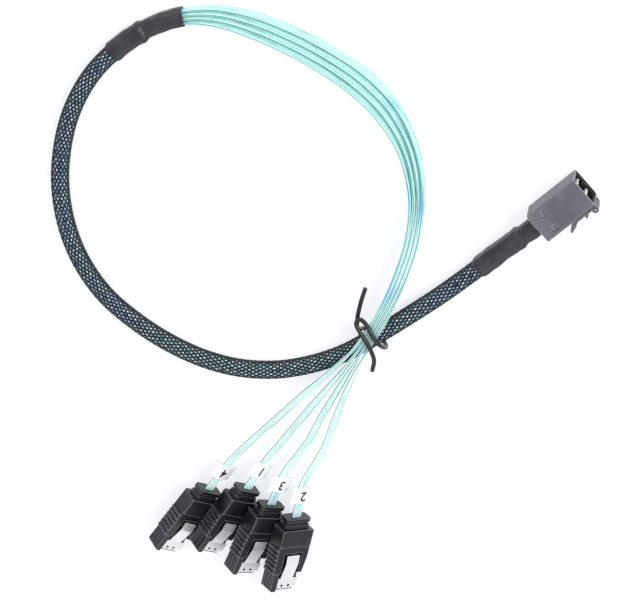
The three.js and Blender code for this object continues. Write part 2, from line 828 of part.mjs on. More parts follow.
function buildNose() {
  let nose = alongZ(outline([
    [noseX0, noseY0],
    [noseX1 - noseChamfer, noseY0],
    [noseX1, noseY0 + noseChamfer],
    [noseX1, noseY1 - noseChamfer],
    [noseX1 - noseChamfer, noseY1],
    [noseX0, noseY1],
  ]), noseBottom, noseTop);
  const railY = noseY0 + noseRail;
  nose = nose.subtract(block(noseX0 - past, noseX1 + past, railY, noseY1 + past, channelTop, noseTop + past));
  for (const level of [1 / 3, 2 / 3]) {
    const z = noseBottom + noseThickness * level;
    nose = nose.subtract(block(
      noseX0 - past,
      noseX1 + past,
      noseY0 - past,
      noseY0 + noseRidgeDepth,
      z - noseRidgeWidth / 2,
      z + noseRidgeWidth / 2,
    ));
  }
  const tailHalf = noseWidth / 2 - noseTailInset;
  nose = nose.add(block(
    hoodLength - noseTail,
    noseX0 + past,
    noseShift - tailHalf,
    noseShift + tailHalf,
    noseTailBottom,
    noseTailBottom + noseTailThickness,
  ));
  const slotZ0 = -slotBelowAxis - slotHeight / 2;
  const slotY0 = noseShift - slotWidth / 2;
  const slotRear = noseX1 - slotDepth;
  nose = nose.subtract(block(slotRear, noseX1 + past, slotY0, slotY0 + slotWidth, slotZ0, slotZ0 + slotHeight));
  nose = nose.subtract(block(
    slotRear,
    noseX1 + past,
    slotY0 + slotWidth - slotLegWidth,
    slotY0 + slotWidth,
    slotZ0 - slotLegHeight,
    slotZ0 + slotHeight / 2,
  ));
  for (let k = 0; k < contactCount; k += 1) {
    const y = slotY0 + contactPitch * (k + 0.5);
    nose = nose.add(block(
      slotRear - gap,
      slotRear + contactLength,
      y - contactWidth / 2,
      y + contactWidth / 2,
      slotZ0 + slotHeight - contactRise,
      slotZ0 + slotHeight + contactRise,
    ));
  }
  const hookX = noseX1 - latchHookFromTip;
  nose = nose.subtract(block(
    noseX0 - past,
    hookX,
    railY,
    noseY1 + past,
    channelTop - latchRelief,
    noseTop + past,
  ));
  nose = nose.subtract(block(
    hookX - latchSheet / 2 - gap,
    hookX + latchSheet / 2 + gap,
    railY,
    noseY1 + past,
    channelTop - latchHook,
    channelTop + past,
  ));
  return nose;
}

const latchAxisX = noseX1 - latchHookFromTip;
const forkY0 = -hoodWidth / 2 + gripRibHeight + forkLeftArm;
const forkY1 = hoodWidth / 2 - forkRightArm;

function buildLatch() {
  const z0 = channelTop + gap;
  const plateRear = latchAxisX - latchPlateLength;
  const rampRear = plateRear - latchRampLength;
  const padRear = rampRear - latchPadLength;
  const middle = (forkY0 + forkY1) / 2;
  const hookFoot = z0 - latchHook + gap / 2;
  const spine = foldedOutline([
    [latchAxisX + latchSheet / 2, hookFoot],
    [latchAxisX + latchSheet / 2, z0 + latchSheet],
  ], latchSheet);
  const plate = foldedOutline([
    [latchAxisX + latchSheet / 2, z0 + latchSheet],
    [plateRear, z0 + latchSheet],
  ], latchSheet);
  const ramp = foldedOutline([
    [plateRear + latchSheet, z0 + latchSheet],
    [plateRear, z0 + latchSheet],
    [rampRear, z0 + latchSheet + latchRampRise],
    [padRear, z0 + latchSheet + latchRampRise - latchPadDip],
  ], latchSheet);
  const plateY0 = middle - latchPlateWidth / 2;
  const plateY1 = middle + latchPlateWidth / 2;
  let latch = alongY(plate, plateY0, plateY1);
  latch = latch.add(alongY(spine, plateY0, plateY1));
  latch = latch.add(alongY(ramp, middle - latchPadWidth / 2, middle + latchPadWidth / 2));
  for (const side of [-1, 1]) {
    const y = middle + (side * latchHolePitch) / 2;
    const x = latchAxisX - latchHoleSize;
    const half = latchHoleSize / 2;
    latch = latch.subtract(block(x - half, x + half, y - half, y + half, z0 - past, z0 + past));
  }
  const flangeY = noseY1 + gap;
  const flange = foldedOutline([
    [plateY1 - latchSheet, z0],
    [flangeY, z0],
    [flangeY, z0 - latchFlangeDrop],
  ], latchSheet);
  latch = latch.add(alongX(flange, plateRear, latchAxisX - latchHoleSize / 2));
  const wingRear = noseX0 + gap;
  latch = latch.add(block(
    wingRear,
    plateRear + latchSheet,
    flangeY,
    flangeY + latchSheet,
    z0 - latchFlangeDrop,
    z0 - latchFlangeDrop / 4,
  ));
  return latch;
}

function buildCollar() {
  let collar = alongX(roundedOutline(collarWidth, collarThickness, collarCorner, 3), -gap - collarLength, -gap);
  const grooveX = -gap - collarLength / 2;
  const ring = alongX(outline([
    [-collarWidth, -collarWidth],
    [collarWidth, -collarWidth],
    [collarWidth, collarWidth],
    [-collarWidth, collarWidth],
  ]), grooveX - collarGrooveWidth / 2, grooveX + collarGrooveWidth / 2);
  const core = alongX(roundedOutline(
    collarWidth - 2 * collarGroove,
    collarThickness - 2 * collarGroove,
    collarCorner - collarGroove / 2,
    3,
  ), -collarLength - past, past);
  collar = collar.subtract(ring.subtract(core));
  const entry = roundedOutline(ribbonWidth + 2 * gap, ribbonThickness + 2 * gap, ribbonCorner, 1);
  return collar.subtract(alongX(entry, -collarLength - past, past));
}

// A strip of film folded over the flat cable and stuck to itself beside it
function buildLabel() {
  const inner = roundedOutline(ribbonWidth + 2 * gap, ribbonThickness + 2 * gap, ribbonCorner, 1);
  const outer = roundedOutline(
    ribbonWidth + 2 * gap + 2 * labelFilm,
    ribbonThickness + 2 * gap + 2 * labelFilm,
    ribbonCorner,
    1,
  );
  const x0 = -labelBehindHood - labelLength / 2;
  const x1 = x0 + labelLength;
  const flag = block(x0, x1, -labelWidth / 2, labelWidth / 2, -labelFilm, labelFilm);
  return alongX(outer, x0, x1).add(flag).subtract(alongX(inner, x0 - past, x1 + past));
}

function buildDrivePlug(spot) {
  const group = plugGroup(spot);
  const n = spot.number;
  addPiece(group, `drive_hood_${n}`, buildHood(), finish.black);
  addPiece(group, `drive_nose_${n}`, buildNose(), finish.black);
  addPiece(group, `drive_latch_${n}`, buildLatch(), finish.steel);
  addPiece(group, `drive_collar_${n}`, buildCollar(), finish.black);
  addPiece(group, `label_${n}`, buildLabel(), finish.film);
  cable.add(group);
  return group;
}

function buildTie() {
  const points = tieRoute.map(([x, y, z]) => new THREE.Vector3(x, y, z));
  const path = new THREE.CatmullRomCurve3(points, false, 'centripetal');
  const ring = Array.from({ length: tieSides }, (_, k) => {
    const angle = (k * 2 * Math.PI) / tieSides;
    return [tieRadius * Math.cos(angle), tieRadius * Math.sin(angle)];
  });
  addPiece(cable, 'twist_tie', sweep(outline(ring), path, tieSteps), finish.black);
}

buildHostPlug();
buildBoots();
buildSleeve();
const plugs = {};
for (const spot of drivePlugs) {
  plugs[spot.number] = buildDrivePlug(spot);
}
buildRibbons(plugs);
buildTie();
cable.position.set(layoutShift[0], layoutShift[1], 0);

export default cable;
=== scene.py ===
# %% [markdown]
# # A breakout data cable
# This lesson dresses a measured CAD model. The cable has one wide host plug, a
# braided trunk that curls round, four clear-jacketed flat cables, a twist tie
# and four drive plugs. The rigid parts keep their CAD solids and get a finish,
# and the soft parts are made again with the detail that the real ones have.
# Cells that build pieces come first, then materials, labels and light.

# %% Load the measured frame
import bisect
import math

import bpy
from mathutils import Matrix, Vector, noise


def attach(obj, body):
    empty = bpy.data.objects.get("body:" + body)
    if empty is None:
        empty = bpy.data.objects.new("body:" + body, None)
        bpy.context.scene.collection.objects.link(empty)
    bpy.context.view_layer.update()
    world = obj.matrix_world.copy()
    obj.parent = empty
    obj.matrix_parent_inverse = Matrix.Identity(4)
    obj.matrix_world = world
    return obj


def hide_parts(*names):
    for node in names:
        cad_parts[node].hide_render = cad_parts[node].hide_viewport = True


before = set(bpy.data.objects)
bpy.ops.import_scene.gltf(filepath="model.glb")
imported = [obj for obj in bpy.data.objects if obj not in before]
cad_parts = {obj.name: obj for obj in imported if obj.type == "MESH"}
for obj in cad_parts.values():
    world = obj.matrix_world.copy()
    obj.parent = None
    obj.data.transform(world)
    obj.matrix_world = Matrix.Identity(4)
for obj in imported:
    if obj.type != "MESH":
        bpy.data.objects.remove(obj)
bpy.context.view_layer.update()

MM = 0.001

# %% [markdown]
# ## The camera
# The photograph was taken from far away with a long lens, nearly from above,
# so parallel edges stay parallel. The three directions of the camera are given
# as a matrix, because that says best how the picture is turned.

# %% Set the camera
RIGHT = Vector((0.7418, -0.6593, -0.1226))
UP = Vector((0.5939, 0.7307, -0.3368))
BACK = Vector((0.3116, 0.1770, 0.9336))
AIM = Vector((2.5, -20.8, 0)) * MM
CAMERA_DISTANCE = 1.0

camera_data = bpy.data.cameras.new("camera")
camera_data.lens = 165.94
camera_data.sensor_width = 36
camera = bpy.data.objects.new("camera", camera_data)
bpy.context.scene.collection.objects.link(camera)
camera.matrix_world = Matrix.Translation(AIM + BACK * CAMERA_DISTANCE) @ Matrix((
    (RIGHT.x, UP.x, BACK.x, 0),
    (RIGHT.y, UP.y, BACK.y, 0),
    (RIGHT.z, UP.z, BACK.z, 0),
    (0, 0, 0, 1),
))
bpy.context.scene.camera = camera
bpy.context.scene.view_settings.view_transform = "Standard"
print("camera", tuple(round(c, 3) for c in camera.location))

# %% [markdown]
# ## The route of the trunk
# A cable is a length of something springy. The trunk leaves the host plug
# straight, curls round on the table, and comes back over itself. Each station
# gives x, y and the height of the centre in millimetres, then how far apart
# the four flat cables lie and how they are rolled in degrees. A roll of -90
# stands them on edge.

# %% Stations along the trunk
SLEEVE_START = 27
BREAKOUT_STATION = 21
LAYOUT_SHIFT = Vector((2.5, -20.8, 0))
TRUNK = [
    (77.6, -24.1, 6.5, 1.25, -90), (71.0, -23.9, 6.3, 1.25, -90),
    (60.0, -23.7, 4.9, 1.25, -90), (48.0, -23.6, 4.1, 1.25, -90),
    (35.0, -23.0, 4.1, 1.25, -90), (22.0, -21.7, 4.5, 1.25, -90),
    (9.0, -20.1, 4.85, 1.25, -90), (-4.0, -18.0, 4.7, 1.25, -90),
    (-16.0, -14.0, 3.8, 1.25, -90), (-27.0, -8.0, 3.1, 1.25, -90),
    (-36.5, 0.5, 2.85, 1.25, -90), (-43.9, 11.0, 2.85, 1.25, -90),
    (-49.3, 23.0, 2.85, 1.25, -90), (-52.9, 36.0, 2.85, 1.25, -90),
    (-54.5, 49.5, 2.85, 1.25, -90), (-52.7, 63.0, 2.85, 1.25, -90),
    (-47.8, 75.6, 2.85, 1.25, -90), (-40.0, 87.2, 2.85, 1.25, -90),
    (-30.0, 96.8, 2.85, 1.25, -90), (-18.5, 104.2, 2.95, 1.25, -90),
    (-5.5, 108.8, 3.25, 1.25, -90), (7.5, 110.0, 3.5, 1.25, -90),
    (20.0, 108.6, 3.6, 1.25, -90), (31.0, 104.6, 3.6, 1.3, -90),
    (40.5, 97.2, 3.3, 1.8, -78), (48.0, 87.0, 3.0, 2.2, -66),
    (54.2, 75.0, 3.0, 2.4, -60), (59.2, 62.2, 3.1, 2.5, -58),
    (62.6, 48.8, 3.5, 2.6, -58), (63.2, 35.2, 4.3, 2.4, -64),
    (59.8, 21.6, 5.3, 1.9, -74), (52.2, 9.0, 6.7, 1.5, -84),
    (41.6, -1.2, 8.1, 1.35, -90), (29.2, -9.0, 9.3, 1.3, -90),
    (16.4, -15.0, 9.8, 1.25, -90), (4.0, -19.2, 9.8, 1.25, -90),
]
# From the tie each flat cable has its own way to its plug: x, y, z and roll
LEGS = {
    4: [(-9.0, -18.9, 9.6, -64), (-23.0, -19.6, 8.8, -48),
        (-39.0, -20.8, 7.7, -42), (-51.0, -21.6, 7.1, -42)],
    1: [(-9.5, -21.9, 9.2, -64), (-23.5, -24.6, 8.3, -46), (-36.5, -27.4, 7.4, -42)],
    3: [(-9.5, -24.4, 8.9, -64), (-22.5, -29.2, 8.0, -46), (-35.0, -34.2, 7.2, -42)],
    2: [(-9.0, -26.8, 8.7, -64), (-21.0, -33.4, 7.8, -46), (-32.5, -39.8, 7.1, -42)],
}
print("trunk stations", len(TRUNK), "legs", len(LEGS))

# %% [markdown]
# ## Where the plugs are
# The drive plugs lie on the table, rolled onto one edge. Each has a frame of
# its own: x runs along the plug towards its nose, y across it and z out of its
# broad face. Pieces on a plug are placed in that frame.

# %% Frames of the four drive plugs
PLUG_ROLL = -42
PLUG_HEIGHT = 6.75
DRIVE_PLUGS = {
    4: {"slot": 0, "x": -77.2, "y": -26.4, "heading": -167.3},
    1: {"slot": 1, "x": -66.4, "y": -34.8, "heading": -164.0},
    3: {"slot": 2, "x": -63.7, "y": -45.0, "heading": -154.5},
    2: {"slot": 3, "x": -59.6, "y": -54.6, "heading": -144.5},
}


def plug_frame(number):
    """The matrix from a drive plug's own millimetres to the frame's metres."""
    spot = DRIVE_PLUGS[number]
    place = (Vector((spot["x"], spot["y"], PLUG_HEIGHT)) + LAYOUT_SHIFT) * MM
    heading = Matrix.Rotation(math.radians(spot["heading"]), 4, "Z")
    roll = Matrix.Rotation(math.radians(PLUG_ROLL), 4, "X")
    return Matrix.Translation(place) @ heading @ roll @ Matrix.Scale(MM, 4)


for number in DRIVE_PLUGS:
    print("plug", number, tuple(round(c, 4) for c in plug_frame(number).translation))

# %% [markdown]
# ## A curve with a roll
# A flat cable needs more than a line: at each point it also needs to know
# which way its width points. This curve passes through its stations and turns
# a level direction by the roll that is asked for there.

# %% Curve through stations
class RolledCurve:
    """A smooth line through points in metres. A power of 0.5 keeps tight turns round."""

    def __init__(self, points, rolls, power=0.0):
        self.points = [Vector(p) for p in points]
        self.rolls = rolls
        self.power = power
        first = 2 * self.points[0] - self.points[1]
        last = 2 * self.points[-1] - self.points[-2]
        self.held = [first, *self.points, last]
        samples = 40 * (len(self.points) - 1)
        self.places = [k / 40 for k in range(samples + 1)]
        self.runs = [0.0]
        for before, after in zip(self.places, self.places[1:]):
            self.runs.append(self.runs[-1] + (self.at(after)[0] - self.at(before)[0]).length)

    def at(self, place):
        """The point and the direction at a place, where station 3 is place 3."""
        i = min(int(place), len(self.points) - 2)
        p0, p1, p2, p3 = self.held[i:i + 4]
        d0, d1, d2 = ((b - a).length ** self.power for a, b in ((p0, p1), (p1, p2), (p2, p3)))
        start = ((p1 - p0) / d0 - (p2 - p0) / (d0 + d1) + (p2 - p1) / d1) * d1
        end = ((p2 - p1) / d1 - (p3 - p1) / (d1 + d2) + (p3 - p2) / d2) * d1
        f = place - i
        a = 2 * p1 - 2 * p2 + start + end
        b = -3 * p1 + 3 * p2 - 2 * start - end
        return ((a * f + b) * f + start) * f + p1, ((3 * a * f + 2 * b) * f + start).normalized()

    def frame(self, place):
        """Point, direction, side, width and normal of the flat section there."""
        point, along = self.at(place)
        i = min(int(place), len(self.rolls) - 2)
        roll = math.radians(self.rolls[i] + (self.rolls[i + 1] - self.rolls[i]) * (place - i))
        side = Vector((-along.y, along.x, 0)).normalized()
        width = side * math.cos(roll) + along.cross(side) * math.sin(roll)
        return point, along, side, width, along.cross(width)

    def place_at(self, run):
        """The place at a distance along the curve, in metres."""
        k = min(max(bisect.bisect_left(self.runs, run), 1), len(self.runs) - 1)
        share = (run - self.runs[k - 1]) / (self.runs[k] - self.runs[k - 1])
        return self.places[k - 1] + share / 40

    def run_at(self, place):
        """How far along the curve a place is, in metres."""
        return self.runs[round(place * 40)]


def layout(x, y, z):
    """A point of the layout in millimetres as a point of the frame in metres."""
    return (Vector((x, y, z)) + LAYOUT_SHIFT) * MM


trunk = RolledCurve([layout(*s[:3]) for s in TRUNK], [s[4] for s in TRUNK])
print("trunk length", round(trunk.runs[-1] * 1000, 1), "mm")

# %% [markdown]
# ## Tubes and strips
# Every soft part here is a skin over rings of points. One builder collects the
# rings of any number of tubes in one mesh. It keeps two numbers with each
# point, a share across the tube and the distance along it, and the patterns of
# the materials follow them.

# %% Mesh builder for swept parts
class Skin:
    """Collects tubes, then makes one mesh object of them."""

    def __init__(self):
        self.points = []
        self.faces = []
        self.coordinates = []

    def tube(self, rings, across, runs, closed=False):
        """Adds a tube. across gives one share for each point of a ring and one more."""
        start = len(self.points)
        count = len(rings[0])
        for ring in rings:
            self.points.extend(ring)
        last = len(rings) if closed else len(rings) - 1
        for j in range(last):
            here = start + j * count
            there = start + ((j + 1) % len(rings)) * count
            v0 = runs[j]
            v1 = runs[(j + 1) % len(rings)]
            for k in range(count):
                m = (k + 1) % count
                self.faces.append((here + k, here + m, there + m, there + k))
                u0 = across[k]
                u1 = across[k + 1]
                self.coordinates.extend(((u0, v0), (u1, v0), (u1, v1), (u0, v1)))
        if not closed:
            end = start + (len(rings) - 1) * count
            self.faces.append(tuple(start + k for k in reversed(range(count))))
            self.coordinates.extend((across[k], runs[0]) for k in reversed(range(count)))
            self.faces.append(tuple(end + k for k in range(count)))
            self.coordinates.extend((across[k], runs[-1]) for k in range(count))

    def build(self, name, smooth_angle):
        mesh = bpy.data.meshes.new(name)
        mesh.from_pydata(self.points, [], self.faces)
        layer = mesh.uv_layers.new(name="across_along")
        layer.data.foreach_set("uv", [c for pair in self.coordinates for c in pair])
        piece = bpy.data.objects.new(name, mesh)
        bpy.context.scene.collection.objects.link(piece)
        bpy.ops.object.select_all(action="DESELECT")
        piece.select_set(True)
        bpy.context.view_layer.objects.active = piece
        bpy.ops.object.mode_set(mode="EDIT")
        bpy.ops.mesh.select_all(action="SELECT")
        bpy.ops.mesh.normals_make_consistent(inside=False)
        bpy.ops.object.mode_set(mode="OBJECT")
        bpy.ops.object.shade_smooth_by_angle(angle=math.radians(smooth_angle))
        return piece


# %% [markdown]
# ## The flat cables
# Each flat cable holds two shielded pairs, four wires side by side under one
# thin clear jacket. The jacket follows the wires, so its section has four low
# humps, and a deep groove between the two pairs where it tears apart. It goes
# unbroken from the cards in the host plug to the collar of its drive plug.

# %% Section and route of a flat cable
WIRE_RADIUS = 0.475
WIRE_PITCH = 0.92
PAIR_WEB = 0.13
WIRE_WEB = 0.30
CABLE_WIDTH = 3.7
HOST_MOUTH = 97
CARD_REAR = HOST_MOUTH - 1 - 14
CARD_TAIL = 2.2
HOST_MIDDLE = -24.1
HOST_HEIGHT = 6.5
CARD_SHIFT = 0.35
CARD_PITCH = 4.5
CARD_FACE = 1.0 / 2 + 0.3 / 2 + 0.95 / 2
LEG_STRAIGHT = (-17.5, -8.0, 1.7)
RING_STEP = 2.0


def flat_section():
    """Points of the section as (across, out), clockwise from the right edge."""
    upper = []
    samples = 32
    for k in range(samples + 1):
        x = CABLE_WIDTH * (0.5 - k / samples)
        nearest = min(abs(x - (w - 1.5) * WIRE_PITCH) for w in range(4))
        hump = math.sqrt(max(WIRE_RADIUS ** 2 - nearest ** 2, 0))
        web = PAIR_WEB if abs(x) < WIRE_PITCH / 2 else WIRE_WEB
        if abs(x) > WIRE_PITCH * 1.5:
            web = 0.02
        upper.append((x, max(hump, web)))
    return upper + [(x, -out) for x, out in reversed(upper)]


def flat_cable_curve(number):
    """The line that a flat cable follows, from its card to its plug."""
    slot = DRIVE_PLUGS[number]["slot"]
    side = 1 if slot < 2 else -1
    face = 1 if slot % 2 == 0 else -1
    tail = HOST_MIDDLE + CARD_SHIFT + side * CARD_PITCH / 2 + face * CARD_FACE
    points = [
        layout(CARD_REAR + CARD_TAIL, tail, HOST_HEIGHT),
        layout(CARD_REAR - 0.3, tail, HOST_HEIGHT),
    ]
    rolls = [-90, -90]
    for k, station in enumerate(TRUNK):
        point, along, side_way, width, normal = trunk.frame(k)
        points.append(point + side_way * ((slot - 1.5) * station[3] * MM))
        rolls.append(station[4])
    for x, y, z, roll in LEGS[number]:
        points.append(layout(x, y, z))
        rolls.append(roll)
    for x in LEG_STRAIGHT:
        points.append(plug_frame(number) @ Vector((x, 0, 0)))
        rolls.append(PLUG_ROLL)
    return RolledCurve(points, rolls)


# %% Make the flat cables
flat_cables = {}
for number in DRIVE_PLUGS:
    curve = flat_cable_curve(number)
    section = flat_section()
    shares = [x / CABLE_WIDTH + 0.5 for x, out in section]
    shares.append(shares[0])
    skin = Skin()
    count = round(curve.runs[-1] / (RING_STEP * MM))
    runs = [curve.runs[-1] * k / count for k in range(count + 1)]
    rings = []
    for run in runs:
        point, along, side, width, normal = curve.frame(curve.place_at(run))
        rings.append([point + (width * x + normal * out) * MM for x, out in section])
    skin.tube(rings, shares, runs)
    flat_cables[number] = skin.build(f"jacketed_flat_cable_{number}", 50)
    print("flat cable", number, round(curve.runs[-1] * 1000, 1), "mm")

# %% [markdown]
# ## The braided sleeve
# The sleeve is braided on a round machine: half of the strands wind one way
# and half the other, and each passes over and under by turns. Flat strands of
# black monofilament leave small diamond gaps, and the pale flat cables show
# through them. Winding the real strands gives the gaps, the shade between them
# and the rough outline at once, which a pattern on a plain tube can't.

# %% Wind the strands
SLEEVE_FROM = (SLEEVE_START + 0.3) * MM
SLEEVE_TO = trunk.run_at(BREAKOUT_STATION) - 2.3 * MM
STRANDS_EACH_WAY = 14
CELL_LENGTH = 2.5
STRAND_HALF = 0.29
STRAND_LIFT = 0.11
SLEEVE_WIDE = 3.1
SLEEVE_HIGH = 2.75
SLEEVE_SQUARENESS = 2.7


def sleeve_ring(wide, high, angle):
    """A point of the sleeve's rounded section as (sideways, upward)."""
    c = math.cos(angle)
    s = math.sin(angle)
    out = (abs(c) ** SLEEVE_SQUARENESS + abs(s) ** SLEEVE_SQUARENESS) ** (-1 / SLEEVE_SQUARENESS)
    return wide * c * out, high * s * out


def on_trunk(run, wide, high, angle):
    """The point at a distance along the trunk and an angle about it."""
    point, along, side, width, normal = trunk.frame(trunk.place_at(run))
    sideways, upward = sleeve_ring(wide, high, angle)
    return point + (normal * sideways + width * upward) * MM


STRAND_SECTION = [(-1.0, -0.07), (-0.62, 0.08), (0.0, 0.03), (0.62, 0.08), (1.0, -0.07)]


def wind_strand(skin, first_angle, direction):
    """One strand, from end to end of the sleeve."""
    step = CELL_LENGTH / 4 * MM
    count = int((SLEEVE_TO - SLEEVE_FROM) / step)
    pitch = CELL_LENGTH * STRANDS_EACH_WAY * MM
    middle = []
    for k in range(count + 1):
        run = SLEEVE_FROM + k * step
        lift = STRAND_LIFT * math.cos(math.pi * k / 2) * direction - 0.2
        angle = first_angle + direction * 2 * math.pi * (run - SLEEVE_FROM) / pitch
        here = on_trunk(run, SLEEVE_WIDE + lift, SLEEVE_HIGH + lift, angle)
        centre = trunk.frame(trunk.place_at(run))[0]
        middle.append((here, (here - centre).normalized(), run))
    rings = []
    for k, (here, out, run) in enumerate(middle):
        before = middle[max(k - 1, 0)][0]
        after = middle[min(k + 1, count)][0]
        along = (after - before).normalized()
        across = along.cross(out).normalized()
        rings.append([here + (across * x * STRAND_HALF + out * y) * MM for x, y in STRAND_SECTION])
    shares = [0.0, 0.25, 0.5, 0.75, 1.0, 0.0]
    skin.tube(rings, shares, [m[2] for m in middle])


skin = Skin()
for k in range(STRANDS_EACH_WAY):
    wind_strand(skin, 2 * math.pi * k / STRANDS_EACH_WAY, 1)
    wind_strand(skin, 2 * math.pi * k / STRANDS_EACH_WAY, -1)
braid = skin.build("braided_strands", 60)
print("strands", 2 * STRANDS_EACH_WAY, "faces", len(braid.data.polygons))

# %% [markdown]
# ## The bundle inside the sleeve
# Under the braid the four jackets press together and fill it. Their edges are
# drawn as one pale skin with a shallow groove between each two cables, close
# under the strands.

# %% Skin of the bundle
BUNDLE_WIDE = 2.74
BUNDLE_HIGH = 2.40
GROOVE = 0.10
BUNDLE_POINTS = 32

skin = Skin()
count = round((SLEEVE_TO - SLEEVE_FROM) / (1.5 * MM))
runs = [SLEEVE_FROM + (SLEEVE_TO - SLEEVE_FROM) * k / count for k in range(count + 1)]
rings = []
for run in runs:
    ring = []
    for k in range(BUNDLE_POINTS):
        angle = 2 * math.pi * k / BUNDLE_POINTS
        sink = GROOVE * abs(math.cos(4 * angle))
        ring.append(on_trunk(run, BUNDLE_WIDE - sink, BUNDLE_HIGH - sink, angle))
    rings.append(ring)
skin.tube(rings, [k / BUNDLE_POINTS for k in range(BUNDLE_POINTS + 1)], runs)
bundle = skin.build("bundle_in_sleeve", 60)
sleeve_path = [trunk.frame(trunk.place_at(run))[0] for run in runs]
print("sleeve length", round((SLEEVE_TO - SLEEVE_FROM) * 1000, 1), "mm")

# %% [markdown]
# ## The shrink boots
# Heat-shrink tube starts as a smooth wide tube. Hot air pulls it tight, so it
# steps down where what it covers gets thinner, with a ridge at the step, and it
# keeps soft creases. The skin is pushed in and out by a tenth or two of a
# millimetre, with smooth noise that is the same in each run.

# %% Make the boots
BOOT_INNER = 2.8
BOOT_FLATNESS = 0.92
BOOT_POINTS = 56
CREASE = 0.42
BOOTS = {
    "host_shrink_boot": {
        "from": 0.0, "length": SLEEVE_START,
        "outer": [(0, 3.5), (7.2, 3.1), (8.8, 3.7), (11, 3.45), (25.8, 3.5), (27, 3.1)],
    },
    "breakout_shrink_boot": {
        "from": trunk.run_at(BREAKOUT_STATION) * 1000 - 2, "length": 28,
        "outer": [(0, 3.2), (1, 3.55), (11, 3.5), (12.6, 3.75), (14.6, 3.1), (28, 3.15)],
    },
}


def outer_at(outer, s):
    """The half width at s, eased between the stations that are given."""
    for (s0, r0), (s1, r1) in zip(outer, outer[1:]):
        if s <= s1:
            share = (s - s0) / (s1 - s0)
            return r0 + (r1 - r0) * (share * share * (3 - 2 * share))
    return outer[-1][1]


def boot_ring(run, radius, crease):
    """One ring of a boot. Its corners are squared a little, as the stack is."""
    point, along, side, width, normal = trunk.frame(trunk.place_at(run * MM))
    ring = []
    for k in range(BOOT_POINTS):
        angle = 2 * math.pi * k / BOOT_POINTS
        c = math.cos(angle)
        s = math.sin(angle)
        square = (c ** 4 + s ** 4) ** -0.25
        spot = Vector((c * 1.6, s * 1.6, run * 0.35))
        fold = noise.noise(spot) * 0.5 + noise.noise(spot * 2.7 + Vector((7, 3, 1))) * 0.3
        r = radius + crease * fold
        ring.append(point + (normal * c * square * r + width * s * square * r * BOOT_FLATNESS) * MM)
    return ring


boots = {}
for name, size in BOOTS.items():
    steps = size["length"] * 2
    rings = []
    runs = []
    for k in range(steps + 1):
        s = size["length"] * k / steps
        near_end = min(s, size["length"] - s, 1.0)
        rings.append(boot_ring(size["from"] + s, outer_at(size["outer"], s), CREASE * near_end))
        runs.append((size["from"] + s) * MM)
    for k in range(steps, -1, -2):
        s = size["length"] * k / steps
        rings.append(boot_ring(size["from"] + s, BOOT_INNER, 0))
        runs.append((size["from"] + s) * MM)
    skin = Skin()
    skin.tube(rings, [k / BOOT_POINTS for k in range(BOOT_POINTS + 1)], runs, closed=True)
    boots[name] = skin.build(name, 60)
    print(name, len(rings), "rings")

# %% [markdown]
# ## The twist tie
# A soft steel wire in a black plastic coat is wound once round the crossing,
# twisted over its own end and cut. A twist tie keeps the bends that fingers
# gave it, so its curve turns tightly where the flat cables do not.

# %% Make the twist tie
TIE_RADIUS = 0.75
TIE_STEPS = 220
TIE_SIDES = 16
TIE = [
    (18.2, -4.2, 8.2), (13.4, -7.2, 9.4), (9.0, -10.6, 9.4), (6.4, -13.4, 8.0),
    (5.7, -14.9, 4.8), (5.9, -16.2, 1.5), (6.9, -19.8, 0.85), (8.0, -23.4, 1.4),
    (8.7, -25.0, 4.6), (9.1, -23.9, 9.2), (9.6, -21.0, 12.4), (10.1, -17.4, 12.9),
    (10.9, -13.6, 12.3), (10.4, -10.9, 11.8), (8.5, -11.0, 11.9), (7.6, -14.0, 12.5),
    (7.0, -18.0, 13.0), (6.0, -21.8, 12.8), (4.2, -25.0, 11.6), (0.9, -27.6, 10.6),
]
tie_curve = RolledCurve([layout(*p) for p in TIE], [0] * len(TIE), power=0.5)
skin = Skin()
rings = []
runs = []
for k in range(TIE_STEPS + 1):
    run = tie_curve.runs[-1] * k / TIE_STEPS
    point, along = tie_curve.at(tie_curve.place_at(run))
    level = along.cross(Vector((0.3, 0.2, 1))).normalized()
    upward = level.cross(along)
    end = min(run, tie_curve.runs[-1] - run) / MM
    radius = TIE_RADIUS * min(1.0, 0.8 + 0.5 * end)
    ring = []
    for m in range(TIE_SIDES):
        angle = 2 * math.pi * m / TIE_SIDES
        ring.append(point + (level * math.cos(angle) + upward * math.sin(angle)) * radius * MM)
    rings.append(ring)
    runs.append(run)
skin.tube(rings, [m / TIE_SIDES for m in range(TIE_SIDES + 1)], runs)
twist_tie = skin.build("coated_twist_tie", 50)
print("twist tie", round(tie_curve.runs[-1] * 1000, 1), "mm")

# %% [markdown]
# ## Which soft piece stands for which solid
# The fine pieces take the places of the plain solids, which stay hidden for
# the collision test. Each flat cable and the sleeve run the length that the
# photograph shows from end to end.

# %% Hand over the soft pieces
SLEEVE_EXIT = tuple(trunk.frame(trunk.place_at(SLEEVE_START * MM))[0])

for piece, node, slot in (
    (braid, "braided_sleeve", "braid"),
    (boots["host_shrink_boot"], "host_boot", "shrink_tube"),
    (boots["breakout_shrink_boot"], "breakout_boot", "shrink_tube"),
    (twist_tie, "twist_tie", "tie_plastic"),
):
    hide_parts(node)
    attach(piece, "cable")
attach(bundle, "cable")
for number, piece in flat_cables.items():
    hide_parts(f"flat_cable_{number}")
    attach(piece, "cable")
print("pieces handed over", 5 + len(flat_cables))

# %% [markdown]
# ## Colours and nodes
# Colours are written as they look on a screen, in hex, and a shader wants them
# linear. One helper adds a node with its settings and its links.

